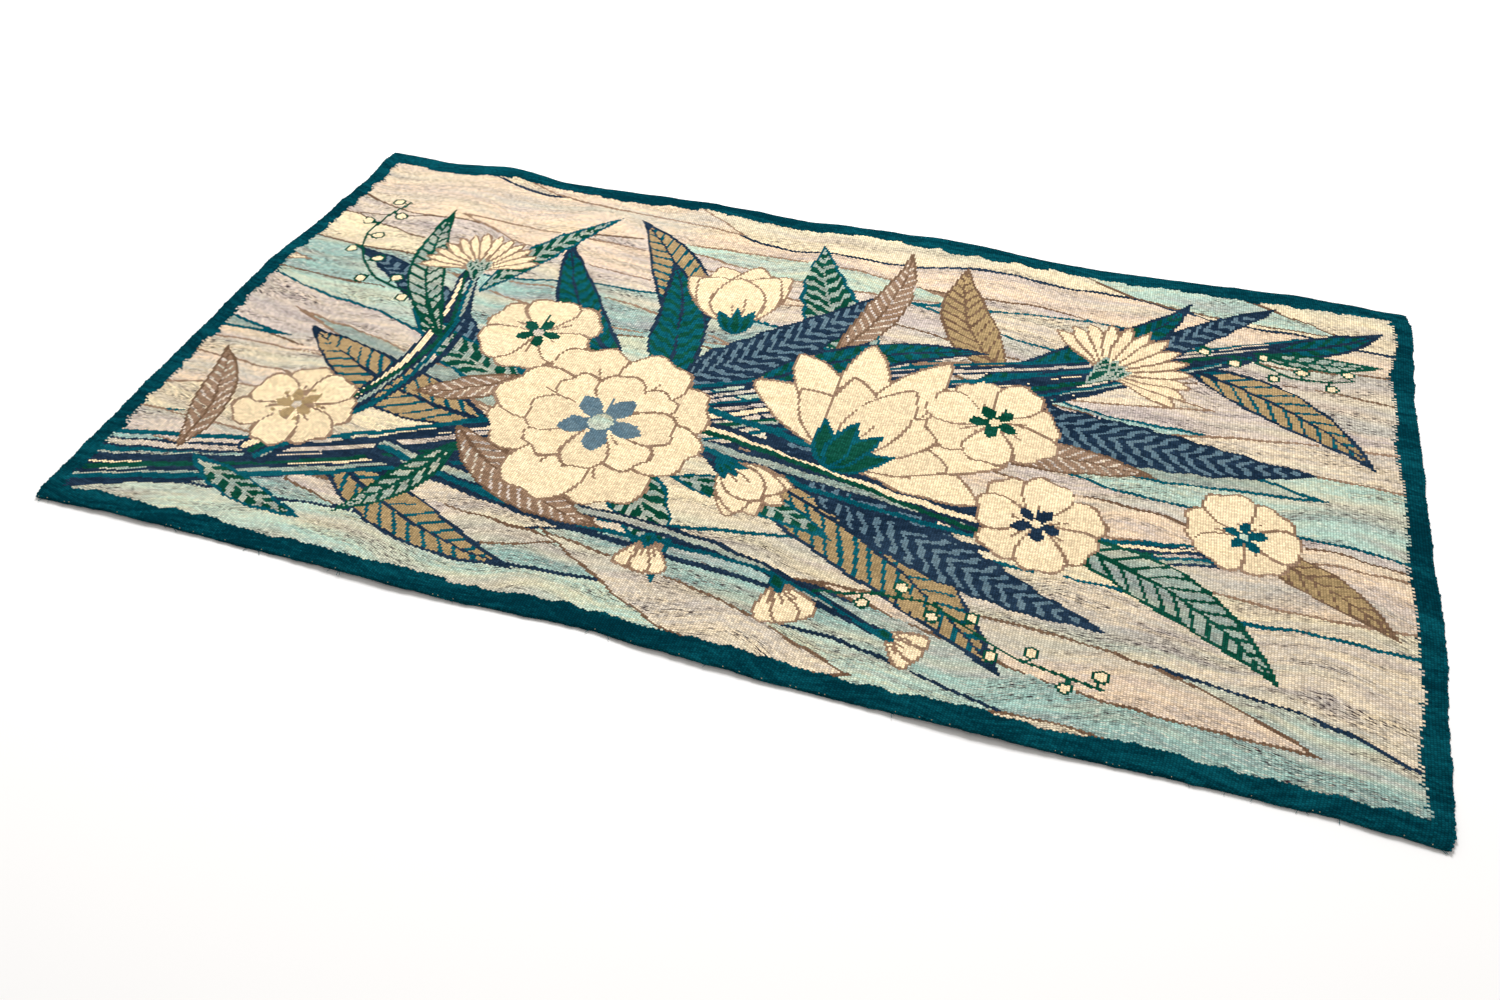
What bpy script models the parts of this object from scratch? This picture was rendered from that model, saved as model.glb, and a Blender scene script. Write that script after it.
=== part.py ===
"""A flat-woven wool wall tapestry, 2.2 m by 1.2 m, lying face up on a floor.

It is one piece of cloth. The dark border is woven in one with the field. The warps run across the short way,
so the long edges, where they end, are turned under as hems, and the short edges are selvedges.

Row frame: metres, +Z up, +X along the long edges, +Y across the cloth from its lower edge to its upper edge.
The origin is the middle of the bounding box, at the floor.
"""

import math

import bmesh
import bpy

# Driving sizes, in metres
LONG_SIDE = 2.200  # between the corners, along X
SHORT_SIDE = 1.205  # between the corners, along Y
CLOTH = 0.003  # thickness of the weave
HEM_DEPTH = 0.036  # width that is turned under along the two long edges
HEM_GAP = 0.0006  # air between the two layers of a hem
HEM_PULL = 0.005  # a hem's ends draw in from the selvedge by this much
EASE = 0.060  # width over which the face comes down from a hem's double layer to the floor

# Facets
ALONG_STEPS = 44
UNDER_STEPS = 2
TURN_STEPS = 5
HEM_STEPS = 2
EASE_STEPS = 5
FIELD_STEPS = 12

MM = 0.001

# The long edges as they lie. "along" is metres from the left corners. "upper" and "lower" are how far the
# edge stands out from the straight line between the corners, in millimetres.
LONG_EDGES = (
    {"along": 0.00, "upper": 0, "lower": 0},
    {"along": 0.15, "upper": -7, "lower": -5},
    {"along": 0.30, "upper": 4, "lower": -6},
    {"along": 0.45, "upper": -12, "lower": -4},
    {"along": 0.70, "upper": -4, "lower": 1},
    {"along": 1.00, "upper": -12, "lower": -10},
    {"along": 1.10, "upper": -1, "lower": -2},
    {"along": 1.30, "upper": -1, "lower": 4},
    {"along": 1.60, "upper": -16, "lower": 5},
    {"along": 1.90, "upper": -4, "lower": -4},
    {"along": 2.05, "upper": 1, "lower": -5},
    {"along": 2.20, "upper": 0, "lower": 2},
)

# The selvedges as they lie. "along" is metres from the lower corners, "left" and "right" as above.
SELVEDGES = (
    {"along": 0.000, "left": 8, "right": 2},
    {"along": 0.185, "left": 16, "right": 6},
    {"along": 0.370, "left": 22, "right": 13},
    {"along": 0.560, "left": 23, "right": 5},
    {"along": 0.740, "left": 26, "right": 1},
    {"along": 0.930, "left": 11, "right": -3},
    {"along": 1.110, "left": 1, "right": 2},
    {"along": 1.205, "left": 4, "right": 0},
)

# Places where the cloth stands off the floor. "x" and "y" are metres from the lower left corner and "high"
# is millimetres. "wide" and "deep" are the half-widths of the swell along X and Y, in metres.
SWELLS = (
    {"x": 0.16, "y": 0.00, "high": 3.0, "wide": 0.20, "deep": 0.16},
    {"x": 0.62, "y": 0.00, "high": 4.0, "wide": 0.22, "deep": 0.14},
    {"x": 1.16, "y": 0.00, "high": 3.0, "wide": 0.20, "deep": 0.12},
    {"x": 1.58, "y": 0.00, "high": 5.0, "wide": 0.20, "deep": 0.16},
    {"x": 2.12, "y": 0.10, "high": 2.5, "wide": 0.14, "deep": 0.18},
    {"x": 2.20, "y": 0.78, "high": 3.5, "wide": 0.12, "deep": 0.20},
    {"x": 0.00, "y": 0.66, "high": 4.0, "wide": 0.12, "deep": 0.26},
    {"x": 0.31, "y": 1.20, "high": 6.0, "wide": 0.15, "deep": 0.17},
    {"x": 0.84, "y": 1.20, "high": 4.0, "wide": 0.22, "deep": 0.14},
    {"x": 1.32, "y": 1.20, "high": 5.0, "wide": 0.20, "deep": 0.18},
    {"x": 1.98, "y": 1.20, "high": 4.5, "wide": 0.18, "deep": 0.16},
    {"x": 0.55, "y": 0.46, "high": 2.0, "wide": 0.24, "deep": 0.14},
    {"x": 1.72, "y": 0.72, "high": 2.0, "wide": 0.26, "deep": 0.16},
)

WOOL_COLOUR = (0.52, 0.47, 0.39, 1.0)
WOOL_ROUGHNESS = 0.92


def clear_scene():
    for old in list(bpy.data.objects):
        bpy.data.objects.remove(old)


def ease(share):
    """A smooth step from 0 to 1."""
    held = min(max(share, 0.0), 1.0)
    return held * held * (3.0 - 2.0 * held)


def edge_offset(table, along, edge):
    """How far that edge stands out from its straight line at a place along it, in metres."""
    if along <= table[0]["along"]:
        return table[0][edge] * MM
    for before, after in zip(table, table[1:]):
        if along <= after["along"]:
            share = (along - before["along"]) / (after["along"] - before["along"])
            return (before[edge] + (after[edge] - before[edge]) * ease(share)) * MM
    return table[-1][edge] * MM


def lift(x, y):
    """How far the cloth stands off the floor at a place, measured from the lower left corner."""
    height = 0.0
    for swell in SWELLS:
        away = math.hypot((x - swell["x"]) / swell["wide"], (y - swell["y"]) / swell["deep"])
        if away < 1.0:
            height += swell["high"] * MM * math.cos(math.pi / 2 * away) ** 2
    return height


def half_section():
    """The cloth's middle line from a hem's hidden end, as (distance from the edge, height)."""
    low = CLOTH / 2
    radius = (CLOTH + HEM_GAP) / 2
    centre = CLOTH / 2 + radius
    line = [(HEM_DEPTH + (centre - HEM_DEPTH) * i / UNDER_STEPS, low) for i in range(UNDER_STEPS)]
    for i in range(TURN_STEPS + 1):
        angle = math.pi * i / TURN_STEPS
        line.append((centre - radius * math.sin(angle), low + radius * (1.0 - math.cos(angle))))
    high = low + 2 * radius
    line += [(centre + (HEM_DEPTH - centre) * i / HEM_STEPS, high) for i in range(1, HEM_STEPS + 1)]
    for i in range(1, EASE_STEPS + 1):
        share = i / EASE_STEPS
        line.append((HEM_DEPTH + EASE * share, high - 2 * radius * ease(share)))
    return line


def whole_section():
    """The middle line right across the cloth, as (y from the lower edge, height), from hem to hem."""
    lower = half_section()
    upper = [(SHORT_SIDE - y, z) for y, z in reversed(lower)]
    start, end = lower[-1][0], upper[0][0]
    step = (end - start) / FIELD_STEPS
    field = [(start + step * i, CLOTH / 2) for i in range(1, FIELD_STEPS)]
    return lower + field + upper


def layers(section):
    """The face and the back of the section, half a thickness to either side of its middle line."""
    face, back = [], []
    for i, (y, z) in enumerate(section):
        y0, z0 = section[max(i - 1, 0)]
        y1, z1 = section[min(i + 1, len(section) - 1)]
        length = math.hypot(y1 - y0, z1 - z0)
        across = ((z0 - z1) / length * CLOTH / 2, (y1 - y0) / length * CLOTH / 2)
        face.append((y + across[0], z + across[1]))
        back.append((y - across[0], z - across[1]))
    return face, back


def hem_pull(y):
    """How far the cloth's ends draw in at a hem."""
    from_edge = min(y, SHORT_SIDE - y)
    return HEM_PULL * (1.0 - ease(from_edge / HEM_DEPTH))


def laid_out(share, y, z):
    """Where a point of the section lies, for a share of the way from the left selvedge to the right."""
    left = -edge_offset(SELVEDGES, y, "left") + hem_pull(y)
    right = LONG_SIDE + edge_offset(SELVEDGES, y, "right") - hem_pull(y)
    x = left + (right - left) * share
    lower = -edge_offset(LONG_EDGES, x, "lower")
    upper = edge_offset(LONG_EDGES, x, "upper")
    across = y + lower + (upper - lower) * y / SHORT_SIDE
    return (x, across, z + lift(x, across))


def tapestry_mesh():
    """One closed sheet: the face and the back, joined round the selvedges and the hems' hidden ends."""
    face, back = layers(whole_section())
    shares = [i / ALONG_STEPS for i in range(ALONG_STEPS + 1)]
    grids = [[[laid_out(share, y, z) for y, z in side] for share in shares] for side in (face, back)]
    points = [point for grid in grids for row in grid for point in row]
    lows, highs = zip(*[(min(axis), max(axis)) for axis in zip(*points)])
    middle = [(lows[0] + highs[0]) / 2, (lows[1] + highs[1]) / 2, lows[2]]

    shape = bmesh.new()
    top, bottom = [
        [[shape.verts.new([p - m for p, m in zip(point, middle)]) for point in row] for row in grid]
        for grid in grids
    ]
    across_steps = len(face) - 1
    for i in range(ALONG_STEPS):
        for j in range(across_steps):
            shape.faces.new((top[i][j], top[i + 1][j], top[i + 1][j + 1], top[i][j + 1]))
            shape.faces.new((bottom[i][j], bottom[i][j + 1], bottom[i + 1][j + 1], bottom[i + 1][j]))
    for j in range(across_steps):
        shape.faces.new((top[0][j], top[0][j + 1], bottom[0][j + 1], bottom[0][j]))
        shape.faces.new((top[-1][j], bottom[-1][j], bottom[-1][j + 1], top[-1][j + 1]))
    for i in range(ALONG_STEPS):
        shape.faces.new((top[i][0], bottom[i][0], bottom[i + 1][0], top[i + 1][0]))
        shape.faces.new((top[i][-1], top[i + 1][-1], bottom[i + 1][-1], bottom[i][-1]))
    mesh = bpy.data.meshes.new("tapestry")
    shape.to_mesh(mesh)
    shape.free()
    return mesh


def wool_material():
    """Matt hand-spun wool, in the tapestry's mean colour."""
    material = bpy.data.materials.new("woven_wool")
    material.use_nodes = True
    surface = material.node_tree.nodes["Principled BSDF"]
    surface.inputs["Base Color"].default_value = WOOL_COLOUR
    surface.inputs["Roughness"].default_value = WOOL_ROUGHNESS
    surface.inputs["Metallic"].default_value = 0.0
    return material


def make_tapestry():
    mesh = tapestry_mesh()
    mesh.materials.append(wool_material())
    tapestry = bpy.data.objects.new("tapestry", mesh)
    bpy.context.scene.collection.objects.link(tapestry)


clear_scene()
make_tapestry()
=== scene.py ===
"""The looks of a flat-woven wool wall tapestry that lies face up on a pale floor.

Row frame: metres, +Z up, +X along the long hemmed edges, +Y from the lower edge to the upper edge.
The cloth is one closed sheet. Its weave is charted as a weaver would: a column for each warp, a cell for each
float of the weft, and the floats of neighbouring warps half a float apart.
"""
import math

import bpy
import numpy as np
from mathutils import Matrix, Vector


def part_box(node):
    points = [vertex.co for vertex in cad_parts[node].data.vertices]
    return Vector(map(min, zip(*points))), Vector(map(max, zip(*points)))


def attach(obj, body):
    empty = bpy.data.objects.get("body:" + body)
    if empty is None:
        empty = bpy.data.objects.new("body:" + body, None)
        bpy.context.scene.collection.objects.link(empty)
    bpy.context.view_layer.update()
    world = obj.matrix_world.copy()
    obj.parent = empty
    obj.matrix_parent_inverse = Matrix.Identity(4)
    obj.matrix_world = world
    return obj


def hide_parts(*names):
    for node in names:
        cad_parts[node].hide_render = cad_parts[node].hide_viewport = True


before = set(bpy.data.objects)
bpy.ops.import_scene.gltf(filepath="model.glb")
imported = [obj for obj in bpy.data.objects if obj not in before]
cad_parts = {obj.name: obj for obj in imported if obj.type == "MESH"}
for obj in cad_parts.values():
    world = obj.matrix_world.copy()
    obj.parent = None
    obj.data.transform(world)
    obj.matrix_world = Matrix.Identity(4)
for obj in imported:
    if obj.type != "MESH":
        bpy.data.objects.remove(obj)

MM = 0.001


def table(columns, *rows):
    """Rows of values as dicts, with the names of their columns."""
    return [dict(zip(columns, row)) for row in rows]


# The cloth, as the part has it, in metres
LONG_SIDE = 2.200
SHORT_SIDE = 1.205
CLOTH = 0.003
HEM_DEPTH = 0.036
HEM_GAP = 0.0006
HEM_PULL = 0.005
EASE = 0.060

# How far from a corner the cloth is rounded off there, which the part leaves out
CORNER = 0.008

# The weave: 2.3 warps a centimetre, and a float as high as the doubled wool weft beats down to
WARPS = 512
FLOATS = 335
WARP = LONG_SIDE / WARPS
FLOAT = SHORT_SIDE / FLOATS
LINE = 0.0044  # a woven contour is a little over one float thick

# The photograph's view: the place in metres, the lens in millimetres, the turns in degrees
CAMERA_PLACE = (0.524, -1.673, 1.458)
CAMERA_LENS = 30.26
CAMERA_HEADING = 18.49
CAMERA_DOWN = 44.21
CAMERA_ROLL = -0.9

# The room: a broad lamp above and behind, in metres, degrees and watts
FLOOR_REACH = 14.0
ROOM_LIGHT = 0.54
LAMP_PLACE = (-0.5, 2.6, 3.5)
LAMP_LEAN = -36
LAMP_WIDTH = 2.0
LAMP_POWER = 215

# How far the long edges stand out from the straight line between the corners, in millimetres
LONG_EDGES = table(
    ("along", "upper", "lower"),
    (0.00, 0, 0),
    (0.15, -7, -5),
    (0.30, 4, -6),
    (0.45, -12, -4),
    (0.70, -4, 1),
    (1.00, -12, -10),
    (1.10, -1, -2),
    (1.30, -1, 4),
    (1.60, -16, 5),
    (1.90, -4, -4),
    (2.05, 1, -5),
    (2.20, 0, 2),
)

# The same for the selvedges, from the lower corners up
SELVEDGES = table(
    ("along", "left", "right"),
    (0.000, 8, 2),
    (0.185, 16, 6),
    (0.370, 22, 13),
    (0.560, 23, 5),
    (0.740, 26, 1),
    (0.930, 11, -3),
    (1.110, 1, 2),
    (1.205, 4, 0),
)

# Where the cloth stands off the floor: places and half-widths in metres, heights in millimetres
SWELLS = table(
    ("x", "y", "high", "wide", "deep"),
    (0.16, 0.00, 3.0, 0.20, 0.16),
    (0.62, 0.00, 4.0, 0.22, 0.14),
    (1.16, 0.00, 3.0, 0.20, 0.12),
    (1.58, 0.00, 5.0, 0.20, 0.16),
    (2.12, 0.10, 2.5, 0.14, 0.18),
    (2.20, 0.78, 3.5, 0.12, 0.20),
    (0.00, 0.66, 4.0, 0.12, 0.26),
    (0.31, 1.20, 6.0, 0.15, 0.17),
    (0.84, 1.20, 4.0, 0.22, 0.14),
    (1.32, 1.20, 5.0, 0.20, 0.18),
    (1.98, 1.20, 4.5, 0.18, 0.16),
    (0.55, 0.46, 2.0, 0.24, 0.14),
    (1.72, 0.72, 2.0, 0.26, 0.16),
)

# The dyed yarns. "second" is spun or hatched in with the main colour by that amount, and "fleck" is how much
# undyed fleece shows in it.
YARNS = table(
    ("name", "main", "second", "amount", "fleck"),
    # The border teal's lighter second teal is partly the yarn's own melange, partly painted highlights on its
    # floats
    ("border teal", "#00313C", "#0A5B67", 0.60, 0.06),
    ("cream", "#F6E0BA", "#EBD2A6", 0.6, 0.08),
    ("warm cream", "#F0D9B2", "#E4CFAC", 0.7, 0.25),
    ("beige", "#E8D4B4", "#C2B9AE", 0.9, 0.75),
    ("peach", "#EBD0B0", "#C6B9B1", 0.85, 0.6),
    ("lilac", "#CCBDB4", "#DCCAAE", 0.85, 0.8),
    ("aqua", "#9BC0B6", "#889A96", 0.85, 0.9),
    ("pale aqua", "#AECBBD", "#CDCDAE", 0.9, 0.7),
    ("grey green", "#879C94", "#A9B4A3", 0.8, 0.6),
    ("olive tan", "#B0966D", "#947E5A", 0.7, 0.35),
    ("taupe", "#8C705A", "#A68C78", 0.6, 0.3),
    ("brown", "#6B5240", "#806853", 0.6, 0.2),
    ("slate", "#56707F", "#6C828C", 0.7, 0.25),
    ("navy", "#17293C", "#2B4056", 0.7, 0.15),
    ("bottle green", "#06402F", "#17574A", 0.7, 0.12),
    ("bright teal", "#044A58", "#12626E", 0.7, 0.12),
    ("straw", "#F0DDB6", "#D6CAB2", 0.8, 0.65),
)
YARN = {yarn["name"]: index for index, yarn in enumerate(YARNS)}
DARK_YARNS = ("navy", "bottle green", "bright teal")

# The ground: how many bands and lens shapes it has, the bands' waves as (metres high, metres long), and the
# yarns of both, in which the ones named more often are more common
BANDS = 12
BAND_WAVES = ((0.036, 1.9), (0.020, 0.8), (0.006, 0.33))
LENSES = 28
GROUND_YARNS = ("straw", "aqua", "peach", "lilac", "beige", "pale aqua", "peach", "beige", "aqua", "peach",
                "lilac", "grey green", "straw", "pale aqua")
BAND_CONTOURS = ("brown", "navy", "taupe", "bright teal", "brown")
LENS_CONTOURS = ("taupe", "brown", "taupe", "bright teal", "brown", "taupe")

# The spray: bundles of stems run through these places, in metres from the lower left corner
BUNDLES = (
    {"path": ((-0.02, 0.10), (0.34, 0.20), (0.68, 0.36), (1.02, 0.54), (1.38, 0.72), (1.74, 0.90),
              (2.02, 1.06)),
     "spread": (0.075, 0.046, 0.055, 0.085, 0.075, 0.036, 0.004), "strands": 10},
    {"path": ((0.30, 0.20), (0.42, 0.42), (0.46, 0.64), (0.40, 0.86)),
     "spread": (0.024, 0.026, 0.020, 0.008), "strands": 5},
    {"path": ((0.92, 0.50), (1.28, 0.44), (1.62, 0.40), (1.96, 0.46)),
     "spread": (0.055, 0.048, 0.030, 0.010), "strands": 7},
    {"path": ((0.50, 0.28), (0.86, 0.22), (1.20, 0.20), (1.44, 0.13)),
     "spread": (0.020, 0.020, 0.014, 0.006), "strands": 3},
)
STRAND_YARNS = ("navy", "bright teal", "grey green", "bottle green", "cream", "navy", "bright teal", "lilac")

# The kinds of leaf, each as blade() takes it, and the leaves: places and widths in metres
LEAF_KINDS = {
    "olive": {"fill": "olive tan", "edge": "navy", "rib": "navy", "veins": "bright teal", "vein_step": 0.034},
    "tan": {"fill": "olive tan", "edge": "brown", "rib": "brown", "veins": "brown", "vein_step": 0.028},
    "green": {"fill": "bottle green", "edge": "bright teal", "rib": "grey green", "stripes": "grey green",
              "stripe_step": 0.034},
    "navy": {"fill": "navy", "edge": "navy", "stripes": "slate", "stripe_step": 0.030},
    "teal": {"fill": "bright teal", "edge": "navy", "rib": "navy", "stripes": "bottle green",
             "stripe_step": 0.034},
    "brown": {"fill": "taupe", "edge": "brown", "rib": "brown", "veins": "lilac", "vein_step": 0.024},
    "sage": {"fill": "grey green", "edge": "bottle green", "rib": "bottle green", "veins": "bottle green",
             "vein_step": 0.032},
}
LEAVES = table(
    ("base", "tip", "width", "kind", "bend"),
    ((0.66, 0.40), (0.20, 0.56), 0.125, "olive", 0.14),
    ((0.40, 0.26), (0.84, 0.09), 0.095, "olive", -0.12),
    ((1.02, 0.44), (1.60, 0.11), 0.150, "olive", 0.16),
    ((1.50, 0.80), (1.36, 1.12), 0.105, "tan", 0.20),
    ((1.80, 0.92), (2.13, 0.72), 0.100, "olive", 0.16),
    ((0.92, 0.70), (0.66, 1.10), 0.115, "olive", -0.16),
    ((1.10, 0.56), (1.74, 0.24), 0.115, "navy", -0.14),
    ((0.62, 0.46), (0.13, 0.84), 0.090, "navy", -0.16),
    ((0.78, 0.44), (1.06, 0.12), 0.105, "green", 0.22),
    ((1.30, 0.72), (1.06, 1.12), 0.120, "green", 0.18),
    ((1.46, 0.74), (2.04, 0.68), 0.105, "navy", -0.12),
    ((1.42, 0.74), (1.80, 1.13), 0.110, "teal", -0.16),
    ((0.86, 0.56), (1.22, 0.98), 0.120, "navy", -0.14),
    ((0.90, 0.52), (0.78, 0.98), 0.105, "teal", -0.18),
    ((0.74, 0.50), (0.34, 0.70), 0.085, "green", 0.18),
    ((0.16, 0.18), (0.08, 0.46), 0.070, "brown", -0.16),
    ((0.60, 0.38), (0.94, 0.21), 0.085, "brown", -0.14),
    ((0.84, 0.60), (0.55, 1.00), 0.085, "teal", 0.14),
    ((1.62, 0.42), (1.98, 0.20), 0.095, "sage", 0.18),
    ((0.46, 0.60), (0.26, 1.02), 0.075, "sage", 0.18),
    ((1.18, 0.76), (1.24, 1.14), 0.075, "brown", -0.16),
    ((0.20, 0.17), (0.46, 0.09), 0.055, "green", -0.10),
    ((1.90, 0.48), (2.14, 0.34), 0.070, "tan", 0.14),
    ((0.46, 0.76), (0.62, 1.10), 0.065, "green", 0.12),
    ((1.70, 0.88), (1.96, 1.15), 0.060, "navy", 0.10),
    ((1.94, 1.01), (2.15, 1.13), 0.060, "teal", -0.12),
    ((1.92, 1.00), (2.15, 1.02), 0.045, "sage", -0.12),
)
LEAVES_BEHIND = 15  # the first ones, which lie behind the stems
FRONT_LEAVES = table(
    ("base", "tip", "width", "kind", "bend"),
    ((1.05, 0.62), (1.46, 0.86), 0.080, "teal", 0.16),
    ((1.46, 0.58), (1.78, 0.60), 0.075, "brown", 0.14),
    ((0.62, 0.34), (0.50, 0.12), 0.065, "sage", 0.14),
    ((1.00, 0.36), (1.30, 0.30), 0.065, "green", 0.14),
    ((0.66, 0.54), (0.48, 0.44), 0.070, "brown", 0.14),
)

# The blossoms, from the hindmost to the front: places and sizes in metres, turns and aims in radians
BERRIES = table(
    ("path", "size", "count"),
    (((0.40, 0.70), (0.24, 0.74), (0.13, 0.88), (0.15, 1.02)), 0.014, 9),
    (((1.80, 0.94), (1.90, 0.98), (2.00, 0.94), (2.10, 0.96)), 0.012, 7),
    (((1.30, 0.19), (1.46, 0.22), (1.60, 0.16), (1.74, 0.13)), 0.012, 8),
)
ROSES = table(
    ("centre", "size", "turn", "petals", "heart", "core", "rings", "seed"),
    ((0.30, 0.34), 0.115, 0.1, 7, "olive tan", "beige", 1, 5),
    ((1.92, 0.50), 0.100, 0.9, 6, "bright teal", "pale aqua", 1, 6),
    ((1.60, 0.44), 0.115, 0.4, 7, "navy", "cream", 1, 7),
    ((0.63, 0.67), 0.125, 0.6, 6, "bottle green", "beige", 1, 8),
    ((0.84, 0.46), 0.220, 0.42, 8, "slate", "pale aqua", 2, 9),
    ((1.50, 0.67), 0.125, 0.2, 7, "bottle green", "warm cream", 1, 10),
)
ROSES_BEHIND = 3  # the first ones, which lie behind the front leaves
BELLS = table(
    ("top", "size", "aim"),
    ((1.24, 0.195), 0.095, -1.1),
    ((1.02, 0.215), 0.085, -1.5),
    ((1.42, 0.140), 0.075, -0.4),
)

# The border: its width in metres, and its inner edge's drifts as (metres in or out, metres along, seed)
BORDER = {
    "left": {"width": 0.032, "drifts": ((0.004, 0.10, 11), (0.0045, 0.035, 17))},
    "right": {"width": 0.031, "drifts": ((0.005, 0.16, 12),)},
    "lower": {"width": 0.039, "drifts": ((0.004, 0.20, 13), (0.0025, 0.03, 14))},
    "upper": {"width": 0.041, "drifts": ((0.004, 0.22, 15), (0.0025, 0.03, 16))},
}
BORDER_STEP = 0.006  # the height of the steps in the upper border

# A speck has under this many floats of its yarn within this many cells to either side
LEAST_FLOATS = 8
SPECK_REACH = 4


def waver(x, y, size, seed):
    """A smooth drift between about -1 and 1 that turns over in about that many metres."""
    dice = np.random.default_rng(seed)
    total = np.zeros(np.shape(x))
    for _ in range(6):
        heading = dice.uniform(0, 2 * math.pi)
        rate = 2 * math.pi / (size * dice.uniform(0.7, 1.9))
        phase = dice.uniform(0, 2 * math.pi)
        total += np.sin((x * math.cos(heading) + y * math.sin(heading)) * rate + phase)
    return total / 3.0


def float_places():
    """Where the middle of each float lies on the cloth, in metres. Odd warps are half a float lower."""
    column = np.arange(WARPS)[:, None]
    row = np.arange(FLOATS + 1)[None, :]
    return (column + 0.5) * WARP + 0.0 * row, (row + 0.5 - 0.5 * (column % 2)) * FLOAT


FLOAT_X, FLOAT_Y = float_places()
DRIFT = 0.0016  # how far a weaver's line strays from the drawn one
DRAWN_X = FLOAT_X + DRIFT * waver(FLOAT_X, FLOAT_Y, 0.06, 3)
DRAWN_Y = FLOAT_Y + DRIFT * waver(FLOAT_X, FLOAT_Y, 0.05, 4)
UNEVEN = 1 + 0.30 * waver(FLOAT_X, FLOAT_Y, 0.13, 5)  # a contour thickens and thins along its way
chart = np.zeros(FLOAT_X.shape, dtype=np.int16)


def patch(points, reach):
    """The block of the chart that lies within reach of some points."""
    points = np.atleast_2d(points)
    low = (points.min(axis=0) - reach) / (WARP, FLOAT) - 2
    high = (points.max(axis=0) + reach) / (WARP, FLOAT) + 3
    first = np.maximum(low, 0).astype(int)
    last = np.maximum(high, 0).astype(int)
    return np.s_[first[0]:last[0], first[1]:last[1]]


def bow(base, tip, bend, steps=20):
    """A bent line from a base to a tip. bend is a share of its length, to the left."""
    base, tip = np.array(base, float), np.array(tip, float)
    run = tip - base
    middle = (base + tip) / 2 + bend * np.array((-run[1], run[0]))
    share = np.linspace(0, 1, steps)[:, None]
    return (1 - share) ** 2 * base + 2 * share * (1 - share) * middle + share ** 2 * tip


def smooth_line(stations, steps=10):
    """A smooth line through stations, with all their columns carried along."""
    rows = np.array([stations[0], *stations, stations[-1]], float)
    t = np.linspace(0, 1, steps, endpoint=False)[:, None]
    parts = []
    for a, b, c, d in zip(rows, rows[1:], rows[2:], rows[3:]):
        run = 2 * b + (c - a) * t + (2 * a - 5 * b + 4 * c - d) * t ** 2
        parts.append(0.5 * (run + (3 * b - a - 3 * c + d) * t ** 3))
    return np.vstack([*parts, rows[-1:]])


def measure(line, x, y):
    """How places lie to a line: share of the way along, distance to its left, plain distance, its length."""
    lengths = np.hypot(*np.diff(line, axis=0).T)
    total = lengths.sum()
    start = 0.0
    nearest = np.full(x.shape, np.inf)
    share = np.zeros(x.shape)
    side = np.zeros(x.shape)
    for i, length in enumerate(lengths):
        ahead = (line[i + 1] - line[i]) / length
        dx, dy = x - line[i][0], y - line[i][1]
        along = dx * ahead[0] + dy * ahead[1]
        across = ahead[0] * dy - ahead[1] * dx
        far = np.hypot(along - np.clip(along, 0, length), across)
        low = -np.inf if i == 0 else 0
        high = np.inf if i == len(lengths) - 1 else length
        nearer = far < nearest
        nearest = np.where(nearer, far, nearest)
        share = np.where(nearer, (start + np.clip(along, low, high)) / total, share)
        side = np.where(nearer, across, side)
        start += length
    return share, side, nearest, total


def dye(block, where, yarn):
    chart[block][where] = YARN[yarn]


def contour(yarn):
    """How wide a contour is at each float. The dark ones are bolder."""
    return LINE * (1.5 if yarn in DARK_YARNS else 1.1) * UNEVEN


def stroke(line, width, yarn, taper=0.0, edge=None):
    """A line in one yarn, which thins by that share towards its end, to a contour at the least."""
    line = np.asarray(line, float)
    block = patch(line, width + 2 * LINE)
    share, _, far, _ = measure(line, DRAWN_X[block], DRAWN_Y[block])
    half = np.maximum(width * (1 - taper * np.clip(share, 0, 1)), 1.1 * LINE) / 2
    if edge:
        dye(block, far < half + contour(edge)[block], edge)
    dye(block, far < half, yarn)


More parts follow.
